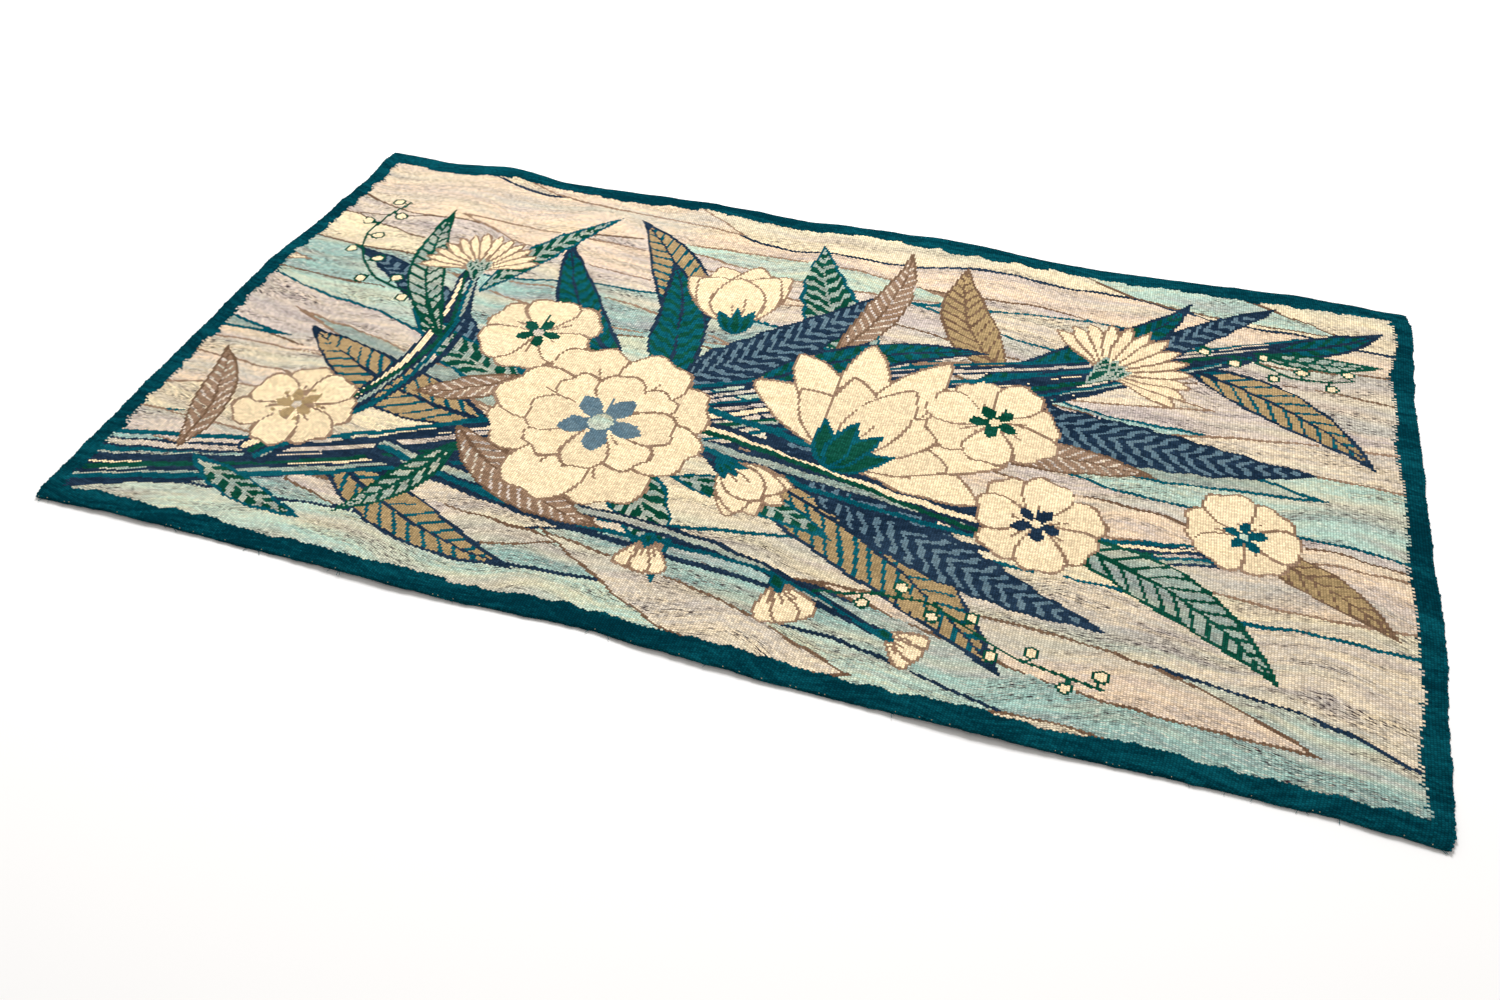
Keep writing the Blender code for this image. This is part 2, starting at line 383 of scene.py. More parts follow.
def blade(base, tip, width, bend=0.0, lean=1.0, fullness=0.8, notch=0.0, fill="cream", edge="taupe", rib=None,
          veins=None, vein_step=0.03, stripes=None, stripe_step=0.03, folds=0, toothed=0.0):
    """A petal or a leaf. lean over 1 puts its widest place past the middle, fullness under 1 rounds it."""
    spine = bow(base, tip, bend)
    block = patch(spine, width)
    share, side, _, length = measure(spine, DRAWN_X[block], DRAWN_Y[block])
    share = share * (1 + notch * np.exp(-(side / (0.20 * width)) ** 2))
    held = np.clip(share, 0.0001, 0.9999)
    profile = np.sin(math.pi * held ** lean) ** fullness
    further = np.sin(math.pi * np.minimum(held + 0.02, 0.9999) ** lean) ** fullness
    slope = np.minimum((further - profile) * width / 2 / (0.02 * length), 6)
    half = width / 2 * profile * (1 + toothed * np.sin(share * length / 0.009))
    inner = (half - np.abs(side)) / np.sqrt(1 + slope ** 2)
    inner = np.where((share > 0) & (share < 1), inner, -1)
    dye(block, inner > 0, edge or fill)
    body = inner > (contour(edge)[block] if edge else 0)
    dye(block, body, fill)
    outward = share * length - np.abs(side) * 1.1
    if stripes:
        wavy = outward + 0.004 * np.sin(side / 0.004)
        dye(block, body & ((wavy / stripe_step) % 1 < 0.42), stripes)
    if veins:
        turn = np.where(side > 0, 0.0, 0.5)
        vein = contour(veins)[block] * 1.4 / vein_step
        dye(block, body & ((outward / vein_step + turn) % 1 < vein) & (share < 0.93), veins)
    if rib:
        dye(block, body & (np.abs(side) < 0.6 * contour(rib)[block] * (1.3 - share)) & (share < 0.95), rib)
    for i in range(folds):
        offset = (2 * (i + 1) / (folds + 1) - 1) * 0.72 * half
        ends = (share > 0.20 + 0.03 * (i % 2)) & (share < 0.60 + 0.10 * math.cos(5.0 * i + width * 40))
        dye(block, body & (np.abs(side - offset) < 0.0021) & ends, edge)


def disc(centre, radius, fill, edge=None):
    block = patch(centre, radius)
    far = np.hypot(DRAWN_X[block] - centre[0], DRAWN_Y[block] - centre[1])
    dye(block, far < radius, edge or fill)
    dye(block, far < radius - LINE, fill)


def polar(centre, angle, reach):
    return centre[0] + reach * math.cos(angle), centre[1] + reach * math.sin(angle)


def rose(centre, size, turn, petals, heart, core, rings, seed):
    """An open blossom of notched petals round a dyed star, with a ring of stamens."""
    dice = np.random.default_rng(seed)
    step = 2 * math.pi / petals
    for ring in range(rings):
        scale = size * 0.66 ** ring
        disc(centre, scale * 0.46, "warm cream", edge="taupe")
        order = [*range(0, petals, 2), *range(1, petals, 2)]
        for i in order:
            angle = turn + (i + 0.5 * ring) * step + dice.uniform(-0.05, 0.05)
            reach = scale * dice.uniform(0.92, 1.08)
            across = scale * 2 * math.sin(step / 2) * dice.uniform(0.80, 0.92)
            blade(centre, polar(centre, angle, reach), across, bend=dice.uniform(-0.10, 0.10), lean=1.6,
                  fullness=0.56, notch=0.12, fill="cream" if (i + ring) % 2 else "warm cream",
                  folds=rings - ring)
    for i in range(5):
        angle = turn + (i + 0.5) * 2 * math.pi / 5
        blade(centre, polar(centre, angle, size * 0.36), size * 0.19, lean=1.4, fill=heart, edge=None)
        disc(polar(centre, angle + 0.6, size * 0.36), 0.0045, "olive tan")
    disc(centre, size * 0.12, core, edge=heart)


def tiers(centre, size, aim, rows):
    """Petals in pairs about an aim, the outer and hinder ones first."""
    for row in rows:
        for sign in (1, -1) if row["spread"] else (1,):
            spread = row["spread"] * sign
            foot = polar(centre, aim + math.pi, size * 0.05)
            tip = polar(centre, aim + spread, size * row["reach"])
            blade(foot, tip, size * row["width"], bend=row["bend"] * spread, lean=row["lean"], fullness=0.68,
                  fill=row["fill"], folds=row["folds"])


def sepals(centre, size, aim, spreads):
    foot = polar(centre, aim + math.pi, size * 0.14)
    for spread in spreads:
        blade(foot, polar(centre, aim + spread, size * 0.32), size * 0.15, lean=0.8, fill="bottle green",
              edge="bright teal")


def lotus(centre, size, aim):
    """Pointed petals in two tiers, seen from the side."""
    tiers(centre, size, aim, table(
        ("spread", "reach", "width", "bend", "lean", "fill", "folds"),
        (1.35, 0.82, 0.34, -0.16, 1.15, "cream", 2),
        (0.92, 0.96, 0.34, -0.16, 1.15, "cream", 2),
        (0.46, 1.06, 0.34, -0.16, 1.15, "cream", 2),
        (0.00, 1.12, 0.34, -0.16, 1.15, "cream", 2),
        (1.05, 0.62, 0.34, -0.22, 1.00, "warm cream", 1),
        (0.52, 0.72, 0.34, -0.22, 1.00, "warm cream", 1),
        (0.00, 0.76, 0.34, -0.22, 1.00, "warm cream", 1),
    ))
    sepals(centre, size, aim, (-0.9, 0.9, -0.3, 0.3))


def cup(centre, size, aim):
    """A cup of broad petals, seen from the side."""
    tiers(centre, size, aim, table(
        ("spread", "reach", "width", "bend", "lean", "fill", "folds"),
        (0.55, 0.98, 0.50, -0.35, 1.2, "warm cream", 0),
        (0.20, 1.06, 0.50, -0.35, 1.2, "warm cream", 0),
        (0.44, 0.92, 0.56, -0.38, 1.1, "cream", 2),
        (0.00, 0.84, 0.56, -0.38, 1.1, "cream", 2),
    ))
    sepals(centre, size, aim, (-0.6, 0.6, 0.0))


def thistle(centre, size, aim):
    """Narrow petals in a fan above a scaled green head."""
    count, spread = 13, 1.35
    for i in sorted(range(count), key=lambda i: -abs(i - (count - 1) / 2)):
        lean_out = (2 * i / (count - 1) - 1) * spread
        reach = size * (1.04 - 0.10 * abs(lean_out))
        blade(centre, polar(centre, aim + lean_out, reach), size * 0.20, lean=1.9, fullness=0.7,
              bend=-0.12 * lean_out, fill="cream" if i % 2 else "warm cream")
    for row in range(3):
        for i in range(4 - row):
            offset = (i - (3 - row) / 2) * 0.34
            blade(polar(centre, aim + math.pi, size * (0.10 + 0.06 * row)),
                  polar(centre, aim + offset, size * (0.36 - 0.10 * row)), size * 0.14, lean=1.2,
                  fill="bottle green", edge="grey green")


def bell(top, size, aim):
    """A hanging bell of three petals under a green cap."""
    for spread in (-0.36, 0.36, 0.0):
        blade(top, polar(top, aim + spread, size), size * 0.48, bend=0.25 * spread, lean=2.1, fullness=0.6,
              notch=0.08, folds=1)
    blade(polar(top, aim + math.pi, size * 0.14), polar(top, aim, size * 0.30), size * 0.28, lean=0.8,
          fill="bottle green", edge="bright teal")


def berries(path, size, count):
    """Pale berries to either side of a thin stalk."""
    line = smooth_line(path)
    stroke(line, 0.0055, "bottle green")
    for i in range(count):
        at = len(line) - 2 - int(i * (len(line) - 3) / count)
        ahead = line[at + 1] - line[at]
        out = np.array((-ahead[1], ahead[0])) / np.hypot(*ahead) * size * 1.7 * (-1) ** i
        stroke([line[at], line[at] + out], 0.0045, "bottle green")
        disc(line[at] + out, size, "cream", edge="bottle green")


def bundle(path, spread, strands):
    """Stems that run side by side and slip over one another."""
    stations = smooth_line([(*place, width) for place, width in zip(path, spread)])
    ahead = np.gradient(stations[:, :2], axis=0)
    left = np.column_stack((-ahead[:, 1], ahead[:, 0])) / np.hypot(*ahead.T)[:, None]
    share = np.linspace(0, 1, len(stations))
    for k in [*range(0, strands, 2), *range(1, strands, 2)]:
        slip = 0.008 * np.sin(2 * math.pi * (1.3 * share + k / 3))
        place = (2 * k / (strands - 1) - 1) * stations[:, 2] + slip
        yarn = STRAND_YARNS[k % len(STRAND_YARNS)]
        line = stations[:, :2] + left * place[:, None]
        stroke(line, 0.013 if k % 2 else 0.017, yarn, taper=0.6, edge=None if yarn in DARK_YARNS else "navy")


def ground():
    """Flowing bands, each over the one before, with contours, and long lens shapes among them."""
    dice = np.random.default_rng(38)
    chart[:] = YARN["beige"]
    for band in range(BANDS):
        slope = dice.uniform(-0.08, 0.04)
        line = SHORT_SIDE * (1.02 - band / BANDS * 1.04) + slope * (DRAWN_X - LONG_SIDE / 2)
        for size, wave in BAND_WAVES:
            rate = 2 * math.pi / (wave * dice.uniform(0.8, 1.25))
            high = size * dice.uniform(0.6, 1.1)
            line = line + high * np.sin(DRAWN_X * rate + dice.uniform(0, 2 * math.pi))
        edge = BAND_CONTOURS[int(dice.integers(len(BAND_CONTOURS)))]
        chart[DRAWN_Y < line] = YARN[edge]
        yarn = GROUND_YARNS[(5 * band + int(dice.integers(3))) % len(GROUND_YARNS)]
        chart[DRAWN_Y < line - contour(edge)] = YARN[yarn]
    for i in dice.permutation(LENSES):
        x = -0.45 + 2.5 * (i % 4) / 4 + dice.uniform(-0.20, 0.20)
        y = 0.04 + 1.16 * (i // 4) / 6 + dice.uniform(-0.05, 0.05)
        run = dice.uniform(0.55, 1.20)
        blade((x, y), (x + run, y + dice.uniform(-0.20, 0.04)), dice.uniform(0.060, 0.125),
              bend=dice.uniform(-0.10, 0.10), lean=dice.uniform(0.6, 1.6), fullness=1.0,
              fill=GROUND_YARNS[int(dice.integers(len(GROUND_YARNS)))],
              edge=LENS_CONTOURS[int(dice.integers(len(LENS_CONTOURS)))])


def spray():
    """The whole spray, from the hindmost leaves to the bells in front."""
    for row in LEAVES[:LEAVES_BEHIND]:
        leaf(row)
    for row in BUNDLES:
        bundle(**row)
    for row in LEAVES[LEAVES_BEHIND:]:
        leaf(row)
    for row in BERRIES:
        berries(**row)
    thistle(centre=(1.66, 0.86), size=0.17, aim=0.9)
    cup(centre=(0.98, 0.80), size=0.20, aim=1.85)
    thistle(centre=(0.42, 0.82), size=0.14, aim=1.9)
    for row in ROSES[:ROSES_BEHIND]:
        rose(**row)
    for row in FRONT_LEAVES:
        leaf(row)
    lotus(centre=(1.26, 0.50), size=0.30, aim=1.15)
    for row in ROSES[ROSES_BEHIND:]:
        rose(**row)
    cup(centre=(1.08, 0.42), size=0.13, aim=-0.7)
    for row in BELLS:
        bell(**row)


def leaf(row):
    blade(row["base"], row["tip"], row["width"], bend=row["bend"], lean=0.85, fullness=0.95,
          toothed=0.05 if row["kind"] in ("green", "navy") else 0.0, **LEAF_KINDS[row["kind"]])


def border_width(side, along):
    """How wide the border is at places along that side, in metres."""
    width = BORDER[side]["width"]
    for drift, run, seed in BORDER[side]["drifts"]:
        width = width + drift * waver(along, 0, run, seed)
    return width


def border():
    """The dark border, toothed where its wefts turn round the field's, and stepped along the upper side."""
    dice = np.random.default_rng(8)
    teeth = WARP * ((np.arange(FLOATS + 1) % 2) + (dice.random(FLOATS + 1) < 0.2))[None, :]
    steps = BORDER_STEP * np.round(1.3 * waver(FLOAT_X, 0, 0.25, 18))
    rim = FLOAT_X < border_width("left", FLOAT_Y) + teeth
    rim |= LONG_SIDE - FLOAT_X < border_width("right", FLOAT_Y) + teeth[:, ::-1]
    rim |= FLOAT_Y < border_width("lower", FLOAT_X)
    rim |= SHORT_SIDE - FLOAT_Y < border_width("upper", FLOAT_X) + steps
    chart[rim] = YARN["border teal"]


def take_out_specks():
    """Give each speck, which has few floats of its yarn in the square round it, to the yarn below it."""
    wide = 2 * SPECK_REACH + 1
    for yarn in np.unique(chart):
        held = np.pad(chart == yarn, (SPECK_REACH + 1, SPECK_REACH)).astype(int)
        total = held.cumsum(axis=0).cumsum(axis=1)
        near = total[wide:, wide:] - total[:-wide, wide:] - total[wide:, :-wide] + total[:-wide, :-wide]
        speck = (chart == yarn) & (near < LEAST_FLOATS)
        for row in range(1, FLOATS + 1):
            chart[:, row] = np.where(speck[:, row], chart[:, row - 1], chart[:, row])


def draw_chart():
    """The whole chart: for each warp, the yarn of each of its floats."""
    ground()
    spray()
    take_out_specks()
    border()
    return chart


def linear(hex_colour):
    """An sRGB hex value as linear red, green, blue and an alpha of 1."""
    parts = [int(hex_colour[i:i + 2], 16) / 255 for i in (1, 3, 5)]
    return [p / 12.92 if p <= 0.04045 else ((p + 0.055) / 1.055) ** 2.4 for p in parts] + [1.0]


def ease(share):
    held = np.clip(share, 0.0, 1.0)
    return held * held * (3.0 - 2.0 * held)


def edge_offset(edges, along, edge):
    """How far that edge stands out from its straight line at places along it, in metres."""
    stations = np.array([row["along"] for row in edges])
    values = np.array([row[edge] for row in edges], float)
    place = np.clip(along, stations[0], stations[-1])
    after = np.clip(np.searchsorted(stations, place), 1, len(stations) - 1)
    share = (place - stations[after - 1]) / (stations[after] - stations[after - 1])
    return (values[after - 1] + (values[after] - values[after - 1]) * ease(share)) * MM


def lift(x, y):
    height = np.zeros_like(x)
    for swell in SWELLS:
        away = np.hypot((x - swell["x"]) / swell["wide"], (y - swell["y"]) / swell["deep"])
        height += np.where(away < 1.0, swell["high"] * MM * np.cos(math.pi / 2 * np.minimum(away, 1)) ** 2, 0)
    return height


def section():
    """The face and the back along the short way, as (y, z) rows, and how far along the face each row lies."""
    low = CLOTH / 2
    radius = (CLOTH + HEM_GAP) / 2
    centre = CLOTH / 2 + radius
    high = low + 2 * radius
    turn = np.linspace(0, math.pi, 14)
    down = np.linspace(0, 1, 25)[1:]
    half = np.vstack((
        np.column_stack((np.linspace(HEM_DEPTH, centre, 9)[:-1], np.full(8, low))),
        np.column_stack((centre - radius * np.sin(turn), low + radius * (1 - np.cos(turn)))),
        np.column_stack((np.linspace(centre, HEM_DEPTH, 9)[1:], np.full(8, high))),
        np.column_stack((HEM_DEPTH + EASE * down, high - 2 * radius * ease(down))),
    ))
    middle = np.vstack((half, half[::-1] * (-1, 1) + (SHORT_SIDE, 0)))
    ahead = np.empty_like(middle)
    ahead[1:-1] = middle[2:] - middle[:-2]
    ahead[0] = middle[1] - middle[0]
    ahead[-1] = middle[-1] - middle[-2]
    ahead /= np.hypot(ahead[:, 0], ahead[:, 1])[:, None]
    across = np.column_stack((-ahead[:, 1], ahead[:, 0])) * CLOTH / 2
    face, back = middle + across, middle - across
    along = np.concatenate(([0], np.cumsum(np.hypot(*np.diff(face, axis=0).T))))
    return face, back, along


FACE, BACK, ALONG = section()
FIRST_FOLD = ALONG[np.argmin(FACE[:, 0])]
LAST_FOLD = ALONG[np.argmax(FACE[:, 0])]
HALF_FLOAT = (LAST_FOLD - FIRST_FOLD) / (2 * FLOATS)
HEM_HALF_FLOATS = FIRST_FOLD / HALF_FLOAT  # how many half floats the turned-under cloth holds
TOP = 2 * FLOATS

# How uneven the hand-beaten cloth is, in millimetres. The selvedges' lumps are (size, metres along, seed),
# and the two folds have fine lumps of 22 mm and broad ones of 55 mm.
SELVEDGE_LUMPS = ((1.1, 0.019, 31), (1.2, 0.070, 35))
FINE_LUMPS = 0.75
LOWER_LUMPS = 1.2
UPPER_LUMPS = 2.8
KNUCKLE = 0.24  # how far every other warp stands out at a fold
HAND = 0.22  # how much thicker and thinner the face is from place to place
THINNED = (0.45, 0.88)  # how much of its thickness the cloth has at a selvedge, and one warp further in


def lay_out(warp, half_float, on_back):
    """Where points of the cloth lie, in metres from the lower left corner."""
    along = FIRST_FOLD + half_float * HALF_FLOAT
    y = np.where(on_back, np.interp(along, ALONG, BACK[:, 0]), np.interp(along, ALONG, FACE[:, 0]))
    z = np.where(on_back, np.interp(along, ALONG, BACK[:, 1]), np.interp(along, ALONG, FACE[:, 1]))
    middle = (np.interp(along, ALONG, BACK[:, 1]) + np.interp(along, ALONG, FACE[:, 1])) / 2
    near_end = np.minimum(warp, WARPS - warp)
    rounded = np.where(near_end < 0.5, THINNED[0], np.where(near_end < 1.5, THINNED[1], 1.0))
    z = middle + (z - middle) * rounded
    from_fold = np.minimum(y, SHORT_SIDE - y)
    corner = np.clip(1 - from_fold / CORNER, 0, 1) ** 2
    pull = HEM_PULL * (1.0 - ease(from_fold / HEM_DEPTH)) + 0.6 * CORNER * corner
    lumps = sum(size * waver(y, 0 * y, run, seed) for size, run, seed in SELVEDGE_LUMPS)
    lumps *= MM * np.clip(1 - near_end / 3, 0, 1)
    left = -edge_offset(SELVEDGES, y, "left") + pull - lumps
    right = LONG_SIDE + edge_offset(SELVEDGES, y, "right") - pull + lumps
    x = left + (right - left) * warp / WARPS
    lower = -edge_offset(LONG_EDGES, x, "lower")
    upper = edge_offset(LONG_EDGES, x, "upper")
    fold = np.clip(1 - np.minimum(np.abs(half_float), np.abs(half_float - TOP)) / 4, 0, 1)
    lumpy = np.where(y < SHORT_SIDE / 2, LOWER_LUMPS, UPPER_LUMPS) * waver(x, 0 * x, 0.055, 34)
    knuckles = KNUCKLE * (-1.0) ** np.round(warp) + FINE_LUMPS * waver(x, 0 * x, 0.022, 32) + lumpy
    knuckles *= MM * fold
    y_laid = y + lower + (upper - lower) * y / SHORT_SIDE + np.where(y < SHORT_SIDE / 2, -1, 1) * knuckles
    hand = HAND * MM * (1 + waver(x, y_laid, 0.05, 33)) * (1 - fold) * (rounded > 0.99)
    hand = np.where(on_back, 0, hand)
    top_side = (half_float > 4) & (half_float < TOP - 4)
    return np.column_stack((x, y_laid, z + lift(x, y_laid) + np.where(top_side, hand, 0)))


# Rows of points in half floats from a fold, dense where the cloth turns
HEM_LEVELS = (-HEM_HALF_FLOATS, -10, -4, -3, -2, -1, 0, 1, 2, 3, 4, 8, 14, 20, 28, 36, 44, 54)
BOTH_HEMS = sorted({*HEM_LEVELS} | {TOP - level for level in HEM_LEVELS})
LONG_GAP = 36  # half floats, past which a line of points gets another one
BACK_STEP = 4  # warps to a column of the back, which is drawn coarser than the face
LEAST_RUN = 3  # floats, under which a contour is left off the back
SELVEDGE_STEP = 3  # half floats between the points along the outermost warps

# The map that the colour is baked on: the face above, the back below, and the four ends in a strip between
FACE_FROM = 0.14
BACK_TO = 0.12
ENDS = (0.126, 0.134)


def without_thin_runs(cells):
    """The chart with each run under the least one given to the yarn below it."""
    plain = cells.copy()
    for column in plain:
        changes = [0, *(np.flatnonzero(np.diff(column)) + 1), len(column)]
        for first, last in zip(changes[1:], changes[2:]):
            if last - first < LEAST_RUN:
                column[first:last] = column[first - 1]
    return plain


def runs(cells, offset):
    """A column's runs of one yarn, as (first level, last level, yarn), hems included."""
    changes = np.flatnonzero(np.diff(cells)) + 1
    levels = [BOTH_HEMS[0]] + [float(2 * change - offset) for change in changes] + [BOTH_HEMS[-1]]
    yarns = [cells[0]] + [cells[change] for change in changes]
    return list(zip(levels, levels[1:], yarns))


class Sheet:
    """The cloth's points and triangles while they are gathered."""

    def __init__(self):
        self.points = {}
        self.triangles = []
        self.yarns = []
        self.parts = []

    def point(self, warp, level, on_back):
        return self.points.setdefault((warp, float(level), on_back), len(self.points))

    def strip(self, left, right, yarn, part):
        """Triangles between two lines of (place, point), facing up when right lies to the right."""
        i = j = 0
        while i < len(left) - 1 or j < len(right) - 1:
            step_left = j == len(right) - 1 or (i < len(left) - 1 and left[i + 1][0] <= right[j + 1][0])
            if step_left:
                self.triangles.append((left[i][1], right[j][1], left[i + 1][1]))
                i += 1
            else:
                self.triangles.append((left[i][1], right[j][1], right[j + 1][1]))
                j += 1
            self.yarns.append(yarn)
            self.parts.append(part)


def weave(sheet, cells, step, on_back):
    """One side of the cloth, column by column."""
    columns = range(0, WARPS, step)
    charted = {c: runs(cells[c], 0 if on_back else c % 2) for c in columns}
    lines = {}
    for warp in range(0, WARPS + 1, step):
        levels = set(BOTH_HEMS)
        for c in (warp - step, warp):
            if c in charted:
                levels |= {run[0] for run in charted[c]}
        if warp in (0, WARPS) and not on_back:
            levels |= set(range(0, TOP + 1, SELVEDGE_STEP))
        levels = sorted(levels)
        for low, high in zip(levels[1:-1], levels[2:-1]):
            levels += range(int(low) + LONG_GAP, int(high) - LONG_GAP // 2, LONG_GAP)
        levels = sorted(levels)
        points = [sheet.point(warp, level, on_back) for level in levels]
        lines[warp] = ([float(level) for level in levels], points)
    for c in columns:
        for first, last, yarn in charted[c]:
            sides = []
            for warp in (c, c + step):
                levels, points = lines[warp]
                a, b = np.searchsorted(levels, first), np.searchsorted(levels, last)
                sides.append(list(zip(levels[a:b + 1], points[a:b + 1])))
            if on_back:
                sides.reverse()
            sheet.strip(sides[0], sides[1], yarn, "back" if on_back else "face")
    return lines


def tapestry_mesh(cells):
    """The whole cloth with its maps and yarns, and how far it was shifted to sit where the part does."""
    sheet = Sheet()
    face = weave(sheet, cells, 1, False)
    back = weave(sheet, without_thin_runs(cells), BACK_STEP, True)
    teal = YARN["border teal"]
    sheet.strip(list(zip(*back[0])), list(zip(*face[0])), teal, "left")
    sheet.strip(list(zip(*face[WARPS])), list(zip(*back[WARPS])), teal, "right")
    for end, part in ((0, "lower end"), (-1, "upper end")):
        rows = [[(warp, line[1][end]) for warp, line in side.items()] for side in (face, back)]
        if end:
            rows.reverse()
        sheet.strip(rows[0], rows[1], teal, part)
    keys = np.array([(warp, level, float(on_back)) for warp, level, on_back in sheet.points])
    places = lay_out(keys[:, 0], keys[:, 1], keys[:, 2] > 0.5)
    low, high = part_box("tapestry")
    middle = (places.min(axis=0) + places.max(axis=0)) / 2
    shift = np.array(((low[0] + high[0]) / 2 - middle[0], (low[1] + high[1]) / 2 - middle[1], 0.0))
    places += shift
    mesh = bpy.data.meshes.new("tapestry_face_and_back")
    mesh.from_pydata(places.tolist(), [], sheet.triangles)
    mesh.shade_smooth()
    mesh.set_sharp_from_angle(angle=math.radians(65))
    corners = np.array(sheet.triangles).ravel()
    warp, level, on_back = keys[corners].T
    weave_map = mesh.uv_layers.new(name="weave")
    weave_map.data.foreach_set("uv", np.column_stack((warp, level / 2)).ravel())
    share = (level - BOTH_HEMS[0]) / (BOTH_HEMS[-1] - BOTH_HEMS[0])
    parts = np.repeat(np.array(sheet.parts), 3)
    across, up = warp / WARPS, np.where(parts == "face", FACE_FROM + (1 - FACE_FROM) * share, BACK_TO * share)
    for number, part in enumerate(("left", "right", "lower end", "upper end")):
        there = parts == part
        run = share if number < 2 else warp / WARPS
        across = np.where(there, (number + run) / 4, across)
        up = np.where(there, np.where(on_back > 0.5, *ENDS), up)
    bake_map = mesh.uv_layers.new(name="OFBake")
    bake_map.data.foreach_set("uv", np.column_stack((across, up)).ravel())
    mesh.uv_layers.active = weave_map
    yarns = np.repeat(np.array(sheet.yarns), 3)
    for name, extra in (("main", "fleck"), ("second", "amount")):
        shades = np.array([linear(yarn[name])[:3] + [yarn[extra]] for yarn in YARNS])
        layer = mesh.color_attributes.new(name + "_yarn", "FLOAT_COLOR", "CORNER")
        layer.data.foreach_set("color", shades[yarns].ravel())
    return mesh, shift


# The materials. A noise over warps and floats is scaled so that a streak is 7 cm long and 9 mm high, and a
# dash 13 mm long and under 2 mm high.
STREAK = (0.060, 0.42, 1.0)
DASH = (0.32, 2.1, 1.0)
RIB_POWER = 0.45  # the ribs over the warps are broad, with narrow grooves
FLOAT_POWER = 0.8  # the floats are rounder
MATH = "ShaderNodeMath"
NOISE = "ShaderNodeTexNoise"
RANGE = "ShaderNodeMapRange"
MIX = "ShaderNodeMix"
COLOUR_MIX = 2  # the colour result of a Mix node


def add(tree, kind, inputs=None, **settings):
    """A node with its settings. An input takes a value, a node's output, or a node for its first output."""
    node = tree.nodes.new(kind)
    for name, value in settings.items():
        setattr(node, name, value)
    for name, value in (inputs or {}).items():
        if isinstance(value, bpy.types.Node):
            value = value.outputs[0]
        if isinstance(value, bpy.types.NodeSocket):
            tree.links.new(value, node.inputs[name])
        else:
            node.inputs[name].default_value = value
    return node


def new_material(name):
    material = bpy.data.materials.new(name)
    material.use_nodes = True
    tree = material.node_tree
    tree.nodes.clear()
    return material, tree


def weave_places(tree):
    """Which float a point lies on, where that is in warps and floats, and how the yarn is rounded there."""
    place = add(tree, "ShaderNodeSeparateXYZ", {0: add(tree, "ShaderNodeUVMap", uv_map="weave")})
    across, up = place.outputs["X"], place.outputs["Y"]
    column = add(tree, MATH, {0: across}, operation="FLOOR")
    odd = add(tree, MATH, {0: column, 1: 2.0}, operation="FLOORED_MODULO")
    shifted = add(tree, MATH, {0: odd, 1: 0.5, 2: up}, operation="MULTIPLY_ADD")
    row = add(tree, MATH, {0: shifted}, operation="FLOOR")
    rounds = []
    for value, power in ((across, RIB_POWER), (shifted, FLOAT_POWER)):
        turn = add(tree, MATH, {0: value, 1: math.pi}, operation="MULTIPLY")
        wave = add(tree, MATH, {0: add(tree, MATH, {0: turn}, operation="SINE")}, operation="ABSOLUTE")
        rounds.append(add(tree, MATH, {0: wave, 1: power}, operation="POWER"))
    twist = add(tree, MATH, {0: across, 1: 2.5, 2: shifted}, operation="MULTIPLY_ADD")
    twist = add(tree, MATH, {0: twist, 1: 2 * math.pi}, operation="MULTIPLY")
    twist = add(tree, MATH, {0: twist}, operation="SINE")
    cell = add(tree, "ShaderNodeCombineXYZ", {0: column, 1: row})
    return cell, across, up, rounds[0], rounds[1], twist


def streak_places(tree, across, up):
    """Places in which a streak is as long as it is high. The wefts rise and fall by 3 cm over 30 cm."""
    here = add(tree, "ShaderNodeCombineXYZ", {0: across, 1: up})
    wander = add(tree, NOISE, {"Vector": here, "W": 1.0, "Scale": 0.014, "Detail": 1.0},
                 noise_dimensions="4D")
    drawn = add(tree, MATH, {0: wander, 1: 50.0, 2: up}, operation="MULTIPLY_ADD")
    drawn = add(tree, "ShaderNodeCombineXYZ", {0: across, 1: drawn})
    streaks = add(tree, "ShaderNodeVectorMath", {0: drawn, 1: STREAK}, operation="MULTIPLY")
    dashes = add(tree, "ShaderNodeVectorMath", {0: drawn, 1: DASH}, operation="MULTIPLY")
    return streaks, dashes


def share_of(tree, place, w, scale, low, high, *factors):
    """How much of a tint shows: a noise between two levels, times some factors."""
    cloud = add(tree, NOISE, {"Vector": place, "W": w, "Scale": scale, "Detail": 2.0}, noise_dimensions="4D")
    share = add(tree, RANGE, {"Value": cloud, "From Min": low, "From Max": high})
    for factor in factors:
        share = add(tree, MATH, {0: share, 1: factor}, operation="MULTIPLY")
    return share


